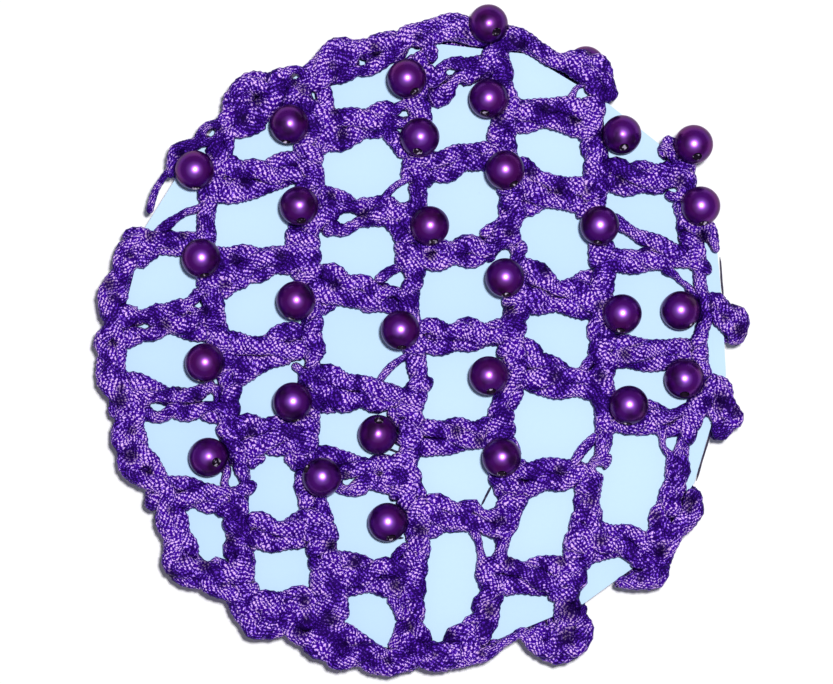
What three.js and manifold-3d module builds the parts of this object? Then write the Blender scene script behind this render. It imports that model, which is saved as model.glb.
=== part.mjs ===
// A crochet hair snood with pearl beads, stretched over its round display card.
// Millimetres, +Z up. The snood lies on its back with the open mesh facing up, and the
// origin is the middle of its box on the surface it rests on.
import * as THREE from "three";
import { mergeVertices } from "three/addons/utils/BufferGeometryUtils.js";
import Module from "manifold-3d";

const wasm = await Module();
wasm.setup();

// Driving dimensions
const SNOOD_REACH = 50; // half the stretched snood; the tables below are in hundredths of it
const YARN_WIDTH = 2.3; // one yarn lying flat
const MESH_THICKNESS = 3.4; // the open mesh, where two yarns cross
const POST_THICKNESS = 3.2; // the stitch posts, a little flatter than the ribs they leave
const CARD_THICKNESS = 1.2;
const MOUTH_RADIUS = 34.5; // the drawn-in opening on the back
const HEM_WIDTH = 9; // the gathered hem round the mouth
const HEM_THICKNESS = 4.2;
const BEAD_DIAMETER = 6;
const BEAD_BORE = 1.5;
const BEAD_SINK = 1.6; // how far a bead settles into the soft yarn under it
const BEAD_TIP = 30; // degrees that a bead's lower end tips up out of the mesh
const BEAD_SWAY = 14; // degrees that neighbouring beads differ in direction
const GAP = 0.3; // clearance between separate pieces

// Facets
const BEAD_SIDES = 12;
const BEAD_ARC_STEPS = 4;
const SPACE_SIDES = 10;
const SPACE_RINGS = 6;
const HEM_SIDES = 40;

// Heights, from the surface upwards
const CARD_BOTTOM = HEM_THICKNESS + GAP;
const CARD_TOP = CARD_BOTTOM + CARD_THICKNESS;
const MESH_BOTTOM = CARD_TOP + GAP;
const MESH_TOP = MESH_BOTTOM + MESH_THICKNESS;

// The card, cut by hand with straight snips: the direction of each corner in degrees,
// counted anticlockwise from +X, and its distance in hundredths of the snood's reach.
const CARD_CORNERS = [
  { angle: 7, out: 94 }, { angle: 17, out: 96 }, { angle: 40, out: 96 },
  { angle: 52, out: 94 }, { angle: 70, out: 95 }, { angle: 90, out: 93 },
  { angle: 114, out: 91 }, { angle: 133, out: 92 }, { angle: 145, out: 91 },
  { angle: 157, out: 92 }, { angle: 178, out: 93 }, { angle: 198, out: 94 },
  { angle: 215, out: 95 }, { angle: 233, out: 96 }, { angle: 250, out: 96 },
  { angle: 267, out: 95 }, { angle: 283, out: 95 }, { angle: 302, out: 95 },
  { angle: 315, out: 96 }, { angle: 333, out: 95 }, { angle: 354, out: 95 },
];

// The edging's shells, in runs that lie side by side: the direction of each section, how
// far the shell stands out, and how far in over the front of the card its lip reaches.
const EDGING_RUNS = [
  [
    { angle: 50, out: 97, lip: 95 }, { angle: 54, out: 101, lip: 95 },
    { angle: 59, out: 101, lip: 94 }, { angle: 64, out: 99, lip: 95 },
    { angle: 68, out: 99, lip: 95 }, { angle: 72, out: 102, lip: 94 },
    { angle: 78, out: 101, lip: 93 }, { angle: 85, out: 103, lip: 92 },
    { angle: 90, out: 100, lip: 89 }, { angle: 95, out: 97, lip: 85 },
    { angle: 100, out: 97, lip: 84 }, { angle: 105, out: 98, lip: 84 },
    { angle: 110, out: 95, lip: 82 }, { angle: 114, out: 94, lip: 85 },
    { angle: 118, out: 96, lip: 83 }, { angle: 122, out: 98, lip: 81 },
    { angle: 126, out: 99, lip: 81 }, { angle: 130, out: 97, lip: 84 },
    { angle: 134, out: 95, lip: 87 }, { angle: 138, out: 96, lip: 90 },
    { angle: 142, out: 97, lip: 91 }, { angle: 147, out: 95, lip: 92 },
    { angle: 152, out: 94, lip: 92 }, { angle: 157, out: 93, lip: 91 },
    { angle: 161, out: 97, lip: 88 }, { angle: 165, out: 99, lip: 90 },
    { angle: 170, out: 101, lip: 91 }, { angle: 176, out: 100, lip: 91 },
    { angle: 181, out: 101, lip: 90 }, { angle: 186, out: 101, lip: 90 },
    { angle: 190, out: 99, lip: 88 }, { angle: 194, out: 97, lip: 86 },
    { angle: 198, out: 99, lip: 88 }, { angle: 203, out: 101, lip: 87 },
    { angle: 209, out: 97, lip: 87 }, { angle: 214, out: 100, lip: 87 },
    { angle: 219, out: 103, lip: 90 }, { angle: 224, out: 105, lip: 92 },
    { angle: 229, out: 104, lip: 92 }, { angle: 236, out: 104, lip: 91 },
    { angle: 240, out: 105, lip: 90 }, { angle: 244, out: 102, lip: 85 },
    { angle: 249, out: 101, lip: 84 }, { angle: 255, out: 103, lip: 88 },
    { angle: 261, out: 104, lip: 92 }, { angle: 266, out: 102, lip: 94 },
    { angle: 270, out: 101, lip: 92 }, { angle: 274, out: 102, lip: 91 },
    { angle: 278, out: 101, lip: 92 }, { angle: 282, out: 99, lip: 95 },
  ],
  [
    { angle: 287, out: 98, lip: 95 }, { angle: 290, out: 103, lip: 93 },
    { angle: 293, out: 107, lip: 92 }, { angle: 296, out: 108, lip: 92 },
    { angle: 299, out: 105, lip: 93 }, { angle: 302, out: 99, lip: 95 },
  ],
  [
    { angle: 309, out: 98, lip: 96 }, { angle: 312, out: 103, lip: 96 },
    { angle: 316, out: 104, lip: 96 }, { angle: 320, out: 101, lip: 95 },
    { angle: 324, out: 101, lip: 95 }, { angle: 329, out: 102, lip: 93 },
    { angle: 332, out: 99, lip: 94 },
  ],
  [
    { angle: 341, out: 98, lip: 92 }, { angle: 344, out: 101, lip: 90 },
    { angle: 348, out: 101, lip: 90 }, { angle: 352, out: 97, lip: 91 },
  ],
  [
    { angle: -1, out: 98, lip: 92 }, { angle: 3, out: 100, lip: 91 },
    { angle: 7, out: 98, lip: 91 }, { angle: 10, out: 96, lip: 92 },
  ],
  [
    { angle: 17, out: 96, lip: 95 }, { angle: 22, out: 98, lip: 95 },
    { angle: 27, out: 98, lip: 96 }, { angle: 32, out: 100, lip: 96 },
    { angle: 36, out: 102, lip: 96 }, { angle: 40, out: 99, lip: 95 },
    { angle: 43, out: 96, lip: 95 },
  ],
];

// The ribs, from left to right: each is the top chain of one crochet row, followed from the
// top edge of the snood to the bottom, with its width there in yarns.
const RIBS = [
  [
    { x: -61, y: 68, yarns: 2 }, { x: -64, y: 57, yarns: 1.8 },
    { x: -65, y: 47, yarns: 1.5 }, { x: -66, y: 37, yarns: 1.1 },
    { x: -65, y: 25, yarns: 1.8 }, { x: -64, y: 13, yarns: 1.6 },
    { x: -64, y: 2, yarns: 1.8 }, { x: -59, y: -9, yarns: 1.7 },
    { x: -61, y: -19, yarns: 1.9 }, { x: -57, y: -31, yarns: 1.8 },
    { x: -54, y: -43, yarns: 1.2 }, { x: -57, y: -55, yarns: 1.8 },
    { x: -54, y: -68, yarns: 1.3 }, { x: -52, y: -80, yarns: 1.8 },
  ],
  [
    { x: -38, y: 79, yarns: 1.8 }, { x: -34, y: 66, yarns: 1.9 },
    { x: -34, y: 55, yarns: 1.7 }, { x: -34, y: 40, yarns: 1.8 },
    { x: -34, y: 29, yarns: 1.8 }, { x: -32, y: 15, yarns: 1.7 },
    { x: -33, y: 1, yarns: 1.6 }, { x: -33, y: -13, yarns: 1.6 },
    { x: -35, y: -28, yarns: 1.9 }, { x: -34, y: -41, yarns: 2 },
    { x: -33, y: -52, yarns: 2 }, { x: -29, y: -68, yarns: 1.9 },
    { x: -27, y: -84, yarns: 1.9 },
  ],
  [
    { x: -1, y: 89, yarns: 1.8 }, { x: -1, y: 75, yarns: 1.8 },
    { x: -2, y: 59, yarns: 1.7 }, { x: -2, y: 47, yarns: 1.6 },
    { x: -4, y: 34, yarns: 1.8 }, { x: -3, y: 16, yarns: 1.6 },
    { x: -2, y: -1, yarns: 1.5 }, { x: 0, y: -13, yarns: 1.5 },
    { x: -4, y: -28, yarns: 1.8 }, { x: -3, y: -42, yarns: 1.8 },
    { x: -1, y: -54, yarns: 1.9 }, { x: -2, y: -67, yarns: 1.9 },
    { x: -2, y: -79, yarns: 1.8 }, { x: -4, y: -92, yarns: 1.9 },
  ],
  [
    { x: 23, y: 90, yarns: 1.8 }, { x: 28, y: 78, yarns: 1.1 },
    { x: 26, y: 67, yarns: 1.6 }, { x: 26, y: 59, yarns: 1.6 },
    { x: 28, y: 45, yarns: 1.7 }, { x: 30, y: 31, yarns: 1.3 },
    { x: 29, y: 13, yarns: 1.6 }, { x: 29, y: 2, yarns: 1.6 },
    { x: 28, y: -9, yarns: 1.6 }, { x: 25, y: -19, yarns: 1.7 },
    { x: 26, y: -33, yarns: 1.7 }, { x: 27, y: -48, yarns: 1.8 },
    { x: 25, y: -61, yarns: 1.5 }, { x: 21, y: -76, yarns: 1.7 },
    { x: 17, y: -89, yarns: 1.8 },
  ],
  [
    { x: 53, y: 85, yarns: 1.5 }, { x: 54, y: 73, yarns: 1.5 },
    { x: 54, y: 59, yarns: 1.7 }, { x: 54, y: 47, yarns: 1.8 },
    { x: 53, y: 37, yarns: 1.3 }, { x: 55, y: 26, yarns: 1.6 },
    { x: 57, y: 15, yarns: 1.6 }, { x: 56, y: 0, yarns: 1.6 },
    { x: 58, y: -12, yarns: 1.7 }, { x: 55, y: -25, yarns: 1.6 },
    { x: 52, y: -39, yarns: 1.7 }, { x: 52, y: -51, yarns: 1.9 },
    { x: 49, y: -63, yarns: 1.9 }, { x: 46, y: -78, yarns: 1.8 },
    { x: 45, y: -89, yarns: 1.8 },
  ],
  [
    { x: 75, y: 60, yarns: 1.6 }, { x: 80, y: 50, yarns: 2.7 },
    { x: 81, y: 42, yarns: 1.6 }, { x: 84, y: 34, yarns: 1.8 },
    { x: 86, y: 22, yarns: 1.4 }, { x: 87, y: 10, yarns: 1.1 },
    { x: 87, y: -2, yarns: 1.2 }, { x: 87, y: -14, yarns: 1.3 },
    { x: 83, y: -22, yarns: 1.7 }, { x: 80, y: -33, yarns: 1.7 },
    { x: 78, y: -45, yarns: 1.6 }, { x: 75, y: -56, yarns: 1.7 },
    { x: 70, y: -65, yarns: 1.7 },
  ],
];

// The stitch posts of each row, which reach from its rib back to the row on its left: the
// height where a post meets that row, the height where it leaves its own rib, and its width
// in yarns. The first row's posts reach to the edging.
const POSTS = [
  [
    { from: 32, to: 33, yarns: 2 }, { from: 8, to: 9, yarns: 2.5 },
    { from: -15, to: -18, yarns: 2.3 }, { from: -47, to: -47, yarns: 2.1 },
    { from: -71, to: -71, yarns: 1.8 },
  ],
  [
    { from: 51, to: 55, yarns: 2 }, { from: 23, to: 26, yarns: 2 },
    { from: -1, to: -2, yarns: 2.1 }, { from: -27, to: -30, yarns: 2.9 },
    { from: -57, to: -56, yarns: 2.1 }, { from: -81, to: -81, yarns: 2.2 },
  ],
  [
    { from: 66, to: 69, yarns: 2.5 }, { from: 39, to: 41, yarns: 2.5 },
    { from: 17, to: 17, yarns: 2.6 }, { from: -15, to: -15, yarns: 2.5 },
    { from: -38, to: -41, yarns: 2.7 }, { from: -70, to: -71, yarns: 2.4 },
  ],
  [
    { from: 79, to: 84, yarns: 2.3 }, { from: 51, to: 60, yarns: 2.4 },
    { from: 26, to: 32, yarns: 2.3 }, { from: 2, to: 3, yarns: 2.4 },
    { from: -29, to: -28, yarns: 2.4 }, { from: -54, to: -52, yarns: 2.4 },
  ],
  [
    { from: 70, to: 72, yarns: 2 }, { from: 48, to: 48, yarns: 2.2 },
    { from: 16, to: 16, yarns: 2.8 }, { from: -8, to: -10, yarns: 2.6 },
    { from: -41, to: -39, yarns: 2.4 }, { from: -71, to: -69, yarns: 2.4 },
  ],
  [
    { from: 53, to: 51, yarns: 2.2 }, { from: 37, to: 29, yarns: 1.1 },
    { from: 26, to: 26, yarns: 1.9 }, { from: -2, to: -2, yarns: 2.1 },
    { from: -25, to: -21, yarns: 2.1 }, { from: -58, to: -57, yarns: 2.7 },
  ],
];

// The beads, each where it hangs beside its row's chain. The one that is tucked lies behind
// the edging, against the card's edge.
const BEADS = [
  { x: 21, y: 98 }, { x: -4, y: 81 }, { x: 21, y: 75 }, { x: -40, y: 67 },
  { x: -69, y: 53 }, { x: 0, y: 63 }, { x: 26, y: 53 }, { x: 62, y: 64 },
  { x: 84, y: 61 }, { x: -37, y: 42 }, { x: 86, y: 42 }, { x: 3, y: 36 },
  { x: 55, y: 36 }, { x: -67, y: 26 }, { x: 26, y: 20 }, { x: -38, y: 13 },
  { x: -6, y: 4 }, { x: 62, y: 9 }, { x: 80, y: 10 }, { x: -66, y: -6 },
  { x: 21, y: -10 }, { x: -39, y: -18 }, { x: 81, y: -11 }, { x: 64, y: -19 },
  { x: -13, y: -28 }, { x: -65, y: -35 }, { x: 25, y: -35 }, { x: -30, y: -41 },
  { x: -10, y: -55 }, { x: 52, y: 87, tucked: true },
];

const share = (hundredths) => (hundredths / 100) * SNOOD_REACH;
const radians = THREE.MathUtils.degToRad;

// Materials
const yarn = new THREE.MeshStandardMaterial({ name: "yarn", color: 0x4b1794, roughness: 0.45 });
const pearl = new THREE.MeshStandardMaterial({
  name: "pearl", color: 0x5a1470, roughness: 0.2, metalness: 0.5,
});
const board = new THREE.MeshStandardMaterial({ name: "board", color: 0xcdeafc, roughness: 0.7 });

// Between three.js geometry and solids
function solidOf(geometry) {
  const bare = geometry.clone();
  bare.deleteAttribute("normal");
  bare.deleteAttribute("uv");
  const merged = mergeVertices(bare, 1e-4);
  const triVerts = new Uint32Array(merged.index.array);
  const vertProperties = merged.attributes.position.array;
  const solid = new wasm.Manifold(new wasm.Mesh({ numProp: 3, vertProperties, triVerts }));
  if (solid.volume() > 0) return solid;
  for (let i = 0; i < triVerts.length; i += 3) {
    [triVerts[i], triVerts[i + 1]] = [triVerts[i + 1], triVerts[i]];
  }
  return new wasm.Manifold(new wasm.Mesh({ numProp: 3, vertProperties, triVerts }));
}

function meshOf(name, solid, material) {
  const { vertProperties, triVerts } = solid.getMesh();
  const geometry = new THREE.BufferGeometry()
    .setAttribute("position", new THREE.BufferAttribute(vertProperties, 3))
    .setIndex(new THREE.BufferAttribute(triVerts, 1));
  geometry.computeVertexNormals();
  const mesh = new THREE.Mesh(geometry, material);
  mesh.name = name;
  return mesh;
}

// A closed skin through a list of sections, each a ring of as many points as the first.
function loft(sections, flatSection) {
  const around = sections[0].length;
  const index = [];
  for (let s = 0; s + 1 < sections.length; s++) {
    for (let k = 0; k < around; k++) {
      const a = s * around + k;
      const b = s * around + ((k + 1) % around);
      index.push(a, b, a + around, b, b + around, a + around);
    }
  }
  const last = (sections.length - 1) * around;
  for (const [a, b, c] of THREE.ShapeUtils.triangulateShape(flatSection, [])) {
    index.push(c, b, a, last + a, last + b, last + c);
  }
  const points = sections.flat();
  return new THREE.BufferGeometry().setFromPoints(points).setIndex(index);
}

// A strand's section: halves of its width, and shares of its height above its flat underside.
const STRAND_SECTION = [
  [-1, 0.45], [-0.6, 0], [0.6, 0], [1, 0.45], [0.45, 1], [-0.45, 1],
].map(([u, v]) => new THREE.Vector2(u, v));

// A strand of mesh along stations with a place and a width, lying on the level given.
function strand(stations, bottom, height, grow = 0) {
  const sections = stations.map(({ at, width }, i) => {
    const before = stations[Math.max(i - 1, 0)].at;
    const after = stations[Math.min(i + 1, stations.length - 1)].at;
    const along = after.clone().sub(before).normalize();
    const half = width / 2 + grow;
    return STRAND_SECTION.map(({ x: u, y: v }) => new THREE.Vector3(
      at.x - along.y * u * half,
      at.y + along.x * u * half,
      bottom - grow + v * (height + 2 * grow),
    ));
  });
  return solidOf(loft(sections, STRAND_SECTION));
}

// The card
function cardRing(grow) {
  return CARD_CORNERS.map(({ angle, out }) => new THREE.Vector2(
    Math.cos(radians(angle)) * (share(out) + grow),
    Math.sin(radians(angle)) * (share(out) + grow),
  ));
}

function cardSolid(grow = 0) {
  const geometry = new THREE.ExtrudeGeometry(new THREE.Shape(cardRing(grow)), {
    depth: CARD_THICKNESS + 2 * grow, bevelEnabled: false,
  });
  return solidOf(geometry.translate(0, 0, CARD_BOTTOM - grow));
}

// How far out the card's edge lies in one direction.
function cardEdge(angle) {
  const ray = new THREE.Vector2(Math.cos(radians(angle)), Math.sin(radians(angle)));
  const corners = cardRing(0);
  let nearest = Infinity;
  corners.forEach((a, i) => {
    const side = corners[(i + 1) % corners.length].clone().sub(a);
    const cross = ray.x * side.y - ray.y * side.x;
    const distance = (a.x * side.y - a.y * side.x) / cross;
    if (distance > 0) nearest = Math.min(nearest, distance);
  });
  return nearest;
}

// The radii of a shell in one direction; even a single strand laps over the card's edge.
function hookRadii({ angle, out, lip }) {
  const inner = cardEdge(angle) + GAP;
  const outer = Math.max(share(out), inner + YARN_WIDTH / 2);
  const tip = Math.min(share(lip), inner - YARN_WIDTH / 2);
  return { tip, inner, outer };
}

// One section of the edging: a hook round the card's edge, from its lip on the front to the
// hem on the back.
function hookSection(row) {
  const { tip, inner, outer } = hookRadii(row);
  const top = MESH_TOP;
  const round = MESH_THICKNESS / 3;
  const foot = MOUTH_RADIUS + HEM_WIDTH / 2;
  return [
    [tip, MESH_BOTTOM], [inner, MESH_BOTTOM], [inner, CARD_BOTTOM - GAP],
    [foot, CARD_BOTTOM - GAP], [foot, CARD_BOTTOM - 1.5 * round],
    [outer - round, CARD_BOTTOM - 1.5 * round], [outer, CARD_BOTTOM - round / 2],
    [outer, top - 1.5 * round], [outer - round, top], [tip + round / 2, top],
    [tip, top - round],
  ].map(([r, z]) => new THREE.Vector2(r, z));
}

// The space that a run of shells takes in front of the card, with a clearance round it.
function lipSection(row) {
  const { tip, outer } = hookRadii(row);
  const [start, end, top] = [tip - GAP, outer + YARN_WIDTH, MESH_TOP + GAP];
  return [[start, CARD_TOP], [end, CARD_TOP], [end, top], [start, top]]
    .map(([r, z]) => new THREE.Vector2(r, z));
}

function aroundRim(run, sectionOf) {
  const flat = run.map(sectionOf);
  const sections = run.map(({ angle }, i) => flat[i].map(({ x: r, y: z }) => new THREE.Vector3(
    r * Math.cos(radians(angle)), r * Math.sin(radians(angle)), z,
  )));
  return solidOf(loft(sections, flat[0]));
}

// The gathered hem round the mouth, flat where it rests.
function hemSolid() {
  const edge = HEM_THICKNESS / 4;
  const outer = MOUTH_RADIUS + HEM_WIDTH;
  const profile = [
    [MOUTH_RADIUS + edge, 0], [outer - edge, 0], [outer, edge], [outer, HEM_THICKNESS - edge],
    [outer - edge, HEM_THICKNESS], [MOUTH_RADIUS + edge, HEM_THICKNESS],
    [MOUTH_RADIUS, HEM_THICKNESS - edge], [MOUTH_RADIUS, edge], [MOUTH_RADIUS + edge, 0],
  ].map(([r, z]) => new THREE.Vector2(r, z));
  return solidOf(new THREE.LatheGeometry(profile, HEM_SIDES).rotateX(Math.PI / 2));
}

// Ribs and posts as lists of stations.
const ribStations = RIBS.map((rib) => rib.map(({ x, y, yarns }) => ({
  at: new THREE.Vector2(share(x), share(y)), width: yarns * YARN_WIDTH,
})));

// The place on a rib at one height.
function onRib(stations, y) {
  const below = stations.findIndex(({ at }, i) => i > 0 && at.y < y);
  const [a, b] = (below < 0 ? stations.slice(-2) : [stations[below - 1], stations[below]])
    .map(({ at }) => at);
  return new THREE.Vector2().lerpVectors(a, b, (y - a.y) / (b.y - a.y));
}

// The place on the edging's left side at one height.
function onEdging(y) {
  const radius = share(94);
  return new THREE.Vector2(-Math.sqrt(radius ** 2 - y ** 2), y);
}

// A post is widest where it hooks round the rib on its left and where it ends in its own.
const POST_SHAPE = [
  { along: 0, wide: 1.15 }, { along: 0.35, wide: 1 }, { along: 0.7, wide: 0.92 },
  { along: 1, wide: 1.12 },
];

const postStations = POSTS.map((posts, row) => posts.map(({ from, to, yarns }) => {
  const start = row ? onRib(ribStations[row - 1], share(from)) : onEdging(share(from));
  const end = onRib(ribStations[row], share(to));
  return POST_SHAPE.map(({ along, wide }) => ({
    at: new THREE.Vector2().lerpVectors(start, end, along), width: wide * yarns * YARN_WIDTH,
  }));
}));

// Beads
const BEAD_RADIUS = BEAD_DIAMETER / 2;

// How high a bead's centre lies: on the card, or on the strands under it.
function beadHeight(centre) {
  const reach = BEAD_RADIUS + MESH_THICKNESS / 2 + GAP - BEAD_SINK;
  const middle = MESH_BOTTOM + MESH_THICKNESS / 2;
  let height = CARD_TOP + GAP + BEAD_RADIUS;
  for (const stations of [...ribStations, ...postStations.flat()]) {
    for (let i = 0; i + 1 < stations.length; i++) {
      const [a, b] = [stations[i], stations[i + 1]];
      const side = b.at.clone().sub(a.at);
      const t = THREE.MathUtils.clamp(
        centre.clone().sub(a.at).dot(side) / side.lengthSq(), 0, 1,
      );
      const width = THREE.MathUtils.lerp(a.width, b.width, t);
      const off = centre.distanceTo(a.at.clone().addScaledVector(side, t));
      const beside = Math.max(0, off - Math.max(0, width - MESH_THICKNESS) / 2);
      if (beside < reach) {
        height = Math.max(height, middle + Math.sqrt(reach ** 2 - beside ** 2));
      }
    }
  }
  return height;
}

const beads = BEADS.map(({ x, y, tucked }) => {
  const flat = new THREE.Vector2(share(x), share(y));
  if (tucked) {
    const angle = THREE.MathUtils.radToDeg(flat.angle());
    flat.setLength(cardEdge(angle) + GAP + BEAD_RADIUS);
  }
  const height = tucked ? CARD_BOTTOM + CARD_THICKNESS / 2 : beadHeight(flat);
  return new THREE.Vector3(flat.x, flat.y, height);
});

// The space cut round a bead: its flat facets, too, keep the clearance.
const facetLoss = Math.cos(Math.PI / SPACE_SIDES) * Math.cos(Math.PI / SPACE_RINGS / 2);
const beadSpaces = beads.map((at) => solidOf(
  new THREE.SphereGeometry((BEAD_RADIUS + GAP) / facetLoss, SPACE_SIDES, SPACE_RINGS)
    .translate(at.x, at.y, at.z),
));

function beadMesh(at, i) {
  const bore = BEAD_BORE / 2;
  const mouth = Math.asin(bore / BEAD_RADIUS);
  const profile = [];
  for (let k = 0; k <= BEAD_ARC_STEPS; k++) {
    const angle = mouth + (k / BEAD_ARC_STEPS) * (Math.PI - 2 * mouth);
    const r = BEAD_RADIUS * Math.sin(angle);
    profile.push(new THREE.Vector2(r, -BEAD_RADIUS * Math.cos(angle)));
  }
  profile.push(profile[0].clone());
  const geometry = new THREE.LatheGeometry(profile, BEAD_SIDES);
  const mesh = new THREE.Mesh(geometry, pearl);
  mesh.name = `bead_${String(i + 1).padStart(2, "0")}`;
  mesh.rotation.set(-radians(BEAD_TIP), 0, radians(BEAD_SWAY * Math.sin(2.3 * i)), "ZXY");
  mesh.position.copy(at);
  return mesh;
}

// Assembly
const cut = (solid, tools) => tools.reduce((left, tool) => left.subtract(tool), solid);
const join = (solids) => solids.reduce((sum, solid) => sum.add(solid));
const largest = (solid) => solid.decompose().reduce((a, b) => (a.volume() > b.volume() ? a : b));
const lipSpaces = EDGING_RUNS.map((run) => aroundRim(run, lipSection));
const ribSpaces = ribStations.map((rib) => strand(rib, MESH_BOTTOM, MESH_THICKNESS, GAP));

function edging() {
  const hooks = EDGING_RUNS.map((run) => aroundRim(run, hookSection));
  return largest(cut(join([hemSolid(), ...hooks]), [cardSolid(GAP), ...beadSpaces]));
}

function meshRow(row) {
  const rib = strand(ribStations[row], MESH_BOTTOM, MESH_THICKNESS);
  const posts = postStations[row].map((post) => strand(post, MESH_BOTTOM, POST_THICKNESS));
  const before = row ? [ribSpaces[row - 1]] : [];
  return largest(cut(join([rib, ...posts]), [...before, ...lipSpaces, ...beadSpaces]));
}

const snood = new THREE.Group();
snood.add(meshOf("card", cardSolid(), board));
snood.add(meshOf("edging", edging(), yarn));
RIBS.forEach((_, row) => snood.add(meshOf(`mesh_row_${row + 1}`, meshRow(row), yarn)));
beads.forEach((at, i) => snood.add(beadMesh(at, i)));

// The origin is under the middle of the whole.
const box = new THREE.Box3().setFromObject(snood, true);
const centre = box.getCenter(new THREE.Vector3());
snood.children.forEach((mesh) => {
  mesh.position.x -= centre.x;
  mesh.position.y -= centre.y;
});

export default snood;
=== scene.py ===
# The dressed model of a crochet hair snood with pearl beads on its display card
# Lengths are in millimetres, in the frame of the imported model, unless a heading says otherwise
import math
import random

import bpy
import numpy as np
from mathutils import Matrix, Vector


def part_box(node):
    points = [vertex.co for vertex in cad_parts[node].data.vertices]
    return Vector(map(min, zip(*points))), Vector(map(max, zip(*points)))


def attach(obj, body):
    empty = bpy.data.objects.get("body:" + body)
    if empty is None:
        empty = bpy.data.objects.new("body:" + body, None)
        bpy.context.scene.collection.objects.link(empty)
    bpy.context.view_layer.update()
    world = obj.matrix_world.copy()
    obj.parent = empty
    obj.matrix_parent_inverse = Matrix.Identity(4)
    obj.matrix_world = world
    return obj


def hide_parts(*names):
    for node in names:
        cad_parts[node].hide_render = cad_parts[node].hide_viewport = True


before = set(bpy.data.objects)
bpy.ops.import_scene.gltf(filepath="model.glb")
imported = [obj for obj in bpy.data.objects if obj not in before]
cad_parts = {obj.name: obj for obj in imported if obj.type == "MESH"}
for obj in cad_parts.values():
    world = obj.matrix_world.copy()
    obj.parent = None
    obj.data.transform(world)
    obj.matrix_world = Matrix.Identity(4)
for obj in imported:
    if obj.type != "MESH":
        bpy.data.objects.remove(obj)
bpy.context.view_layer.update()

MM = 0.001
TAU = 2 * math.pi
BODY = "root"
UP = Vector((0, 0, 1))
chance = random.Random(5)

# The yarn and the sewing thread
SNOOD_REACH = 50  # half the stretched snood; the tables below are in hundredths of it
YARN_WIDTH = 2.3
YARN_THICKNESS = 1.5
SINGLE_BOW = 0.08  # how far a single yarn bows to its left, in its own length
THREAD_WIDTH = 0.32
THREAD_LIMIT = 0.48  # what is narrower than this doesn't give way to a hole
THREAD_DEPTH = 1  # how far behind the middle of the mesh a thread runs
THREAD_WAVE = 0.3
THREAD_PARTS = 8
CLEARANCE = 0.06

# The strands of the mesh and the edging
STRAND_WIDTH = 2.7  # the yarn as it lies in the mesh, pressed flat
STRAND_SHARE = 0.72  # its share of the width of its path
STRAND_SPREAD = 0.45  # its share where the path is wide and it lies spread out
STRAND_LEAST = 1.3  # its width where a rib or the edging is drawn thin
STRAND_ROOM = 1.05  # the room that it takes up in its path, in its own width
STRAND_SIDES = 12
STRAND_STEP = 0.45
STRAND_SWELL = 0.1  # how much its width changes along it, as a share
STRAND_BUMP = 0.05  # how far every other ring of it stands out, as its weave does
STRAND_TIP = 0.06  # how blunt its rounded ends are
STRAND_LIFT = 0.6  # how far crossing strands rise and fall
STRAND_SWAY = 0.3  # how far a strand strays to its side, up and down
SWAY_LENGTH = 7
SWAY_WAVES = 3
SWAY_RATES = (0.7, 1.6)
SWAY_SUM = 1.7  # how far the waves reach together, in the height of one
DOT_PITCH = 0.8  # spacing of the weave's dots across and along a yarn
DOTS_ROUND = 10
DOTS_AHEAD = 40  # how many dots along its weave a strand may start
BARE_PLACE = (0.25, 0.25)  # a place between the dots, for the ends of a strand

# The ribs, posts and knots of the open mesh
RIB_STRANDS = 3
RIB_LAY = 11  # length in which a rib's strands pass round each other once
POST_STRANDS = 3
POST_LAY = 30
POST_LAYS = (0.8, 1.5)  # how far the posts differ in it
POST_LEAST = 1.5  # a post of no more yarns than this is one strand without knots
POST_HOOK = 0.9  # how far a post reaches past the middle of its ribs
POST_DIPS = (0.6, 0.4)  # how far it dips behind them at its start and its end
POST_PLACES = (0.22, 0.5, 0.8)  # where along it the widths of the table hold
KNOT_SPACING = 2.1
KNOT_STRAY = 0.3
KNOT_SLANT = 0.9
KNOT_SLANTS = (0.5, 1.2)
KNOT_TURN = 230  # degrees that the yarn of a knot goes round its rib
KNOT_PARTS = 14
KNOT_TUCK = 0.5  # how far a knot's strands stay inside the rib's own width
KNOT_WIDTH = 0.95  # in strand widths
KNOT_THICKNESS = 0.9  # in yarn thicknesses

# The hollows, pressed in and darkened with painted shade, and the small holes between the strands
# How far round a point the painted shade of the crevices looks for other yarn, how far a hollow is
# pressed in, and how dark its painted shade makes it
CREVICE_DEPTH = 1.6
HOLLOW_DEPTH = 0.5
HOLLOW_SHADE = 0.85
HOLLOW_FADE = 0.5  # how far above the card a hollow reaches its full shade
HOLLOW_SLOPE = 1.5
# How far the painted shade in the hollow of each shell reaches
SHELL_HOLLOW = 0.9
HOLE_PASS = 1.8  # how far off a strand starts to bend round a hole, in its own clearance
HOLE_PINCH = 0.62  # its share of the width beside a hole
UPRIGHT = 0.1  # a strand that runs less than this across in two steps isn't bent

# The edging
EDGE_MEETS = 95  # how far out the first row of the mesh meets the edging
EDGE_STRANDS = 3
EDGE_LAY = 32
RIM_COVER = 1.1  # how far the yarn stands out past the card's edge at the least
SHELL_SPACING = 7.5
SHELL_SPANS = (0.8, 1.15)
SHELL_STEP = 15  # degrees between the stations of a shell's loop
SHELL_SINK = 0.55  # how far the loop's top lies under the mesh's, in yarn thicknesses
SHELL_DROP = 0.6  # how far its ends lie under its top, in yarn thicknesses
SHELL_HEART = 0.4  # where its hollow lies on the way from its foot to its top
WRAP_SPACING = 2.5
WRAP_LEAN = 1.6
WRAP_WIDTHS = (0.95, 1.1)
WRAP_THICKNESS = 0.9
WRAP_RIM = 0.9  # how far inside the rim the yarn of a wrap lies, in yarn thicknesses
WRAP_FOOT = 0.6  # how far across the hem it ends
WRAP_HUB = 2.5  # how far inside the rim the middle of its turn lies

# The hem round the mouth
MOUTH_RADIUS = 34.5
HEM_WIDTH = 9
HEM_TURNS = 98
HEM_STEPS = 16
HEM_YARN = 1.12  # in yarn widths
CORE_STEP = 3

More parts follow.
